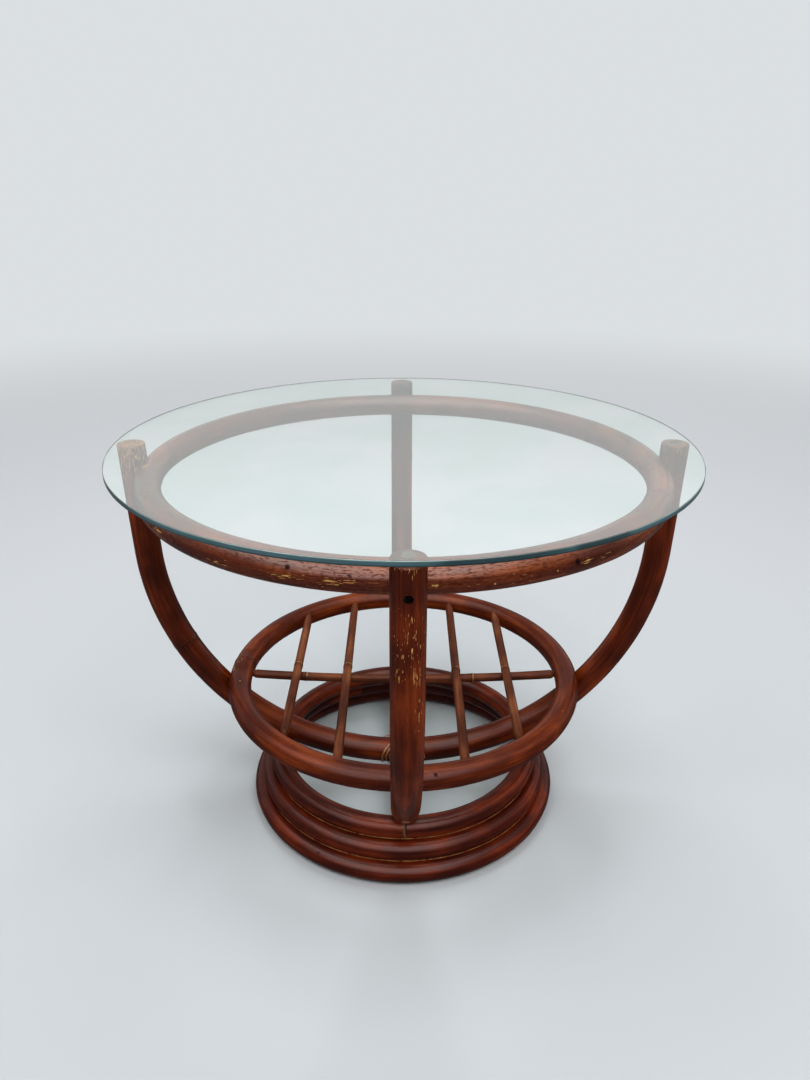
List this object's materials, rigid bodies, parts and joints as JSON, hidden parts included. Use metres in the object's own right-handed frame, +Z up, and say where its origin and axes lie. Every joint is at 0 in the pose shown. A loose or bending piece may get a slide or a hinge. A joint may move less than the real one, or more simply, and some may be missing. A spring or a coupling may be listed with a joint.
{
  "type": "rattan coffee table",
  "caption": "Round glass coffee table on two crossed bows of bent rattan pole, with a spindle shelf and stacked base rings.",
  "frame": {"origin": "on the floor under the middle of the glass", "axes": "+Z up, +X to the right, +Y to the back, one bow along each of X and Y"},
  "size_m": [0.6999, 0.7, 0.506],
  "materials": {
    "glass": "polished clear float glass with a green edge",
    "clear_pad": "clear soft pad",
    "mahogany_pole": "glossy lacquer over red-brown stained rattan pole",
    "spindle": "glossy lacquer over dark stained rattan",
    "peel": "lacquered rattan peel strip",
    "black_bolt": "black oxide steel",
    "zinc": "zinc-plated steel",
    "brass_insert": "plain turned brass",
    "beech": "bare beech",
    "plug": "lacquered wooden plug, end grain"
  },
  "bodies": {
    "frame": {"glass_pads": "clear_pad", "upper_ring": "mahogany_pole", "bow_left_right": "mahogany_pole", "bow_front_back": "mahogany_pole", "crossing_binding": "peel", "shelf_ring": "mahogany_pole", "cross_spindle": "spindle", "depth_spindle_1": "spindle", "depth_spindle_2": "spindle", "depth_spindle_3": "spindle", "depth_spindle_4": "spindle", "base_ring_top": "mahogany_pole", "base_ring_middle": "mahogany_pole", "base_ring_bottom": "mahogany_pole", "ring_bolts": "black_bolt", "ring_inserts": "brass_insert", "shelf_screws": "zinc", "shelf_screw_plugs": "plug", "base_screws": "zinc", "crossing_screw": "zinc", "ring_dowels": "beech", "spindle_brads": "zinc"},
    "glass": {"glass_top": "glass"}
  },
  "joints": [
    {"name": "glass_lift", "type": "slide", "parent": "frame", "child": "glass", "axis": [0, 0, 1], "range_m": [0, 0.15]}
  ]
}
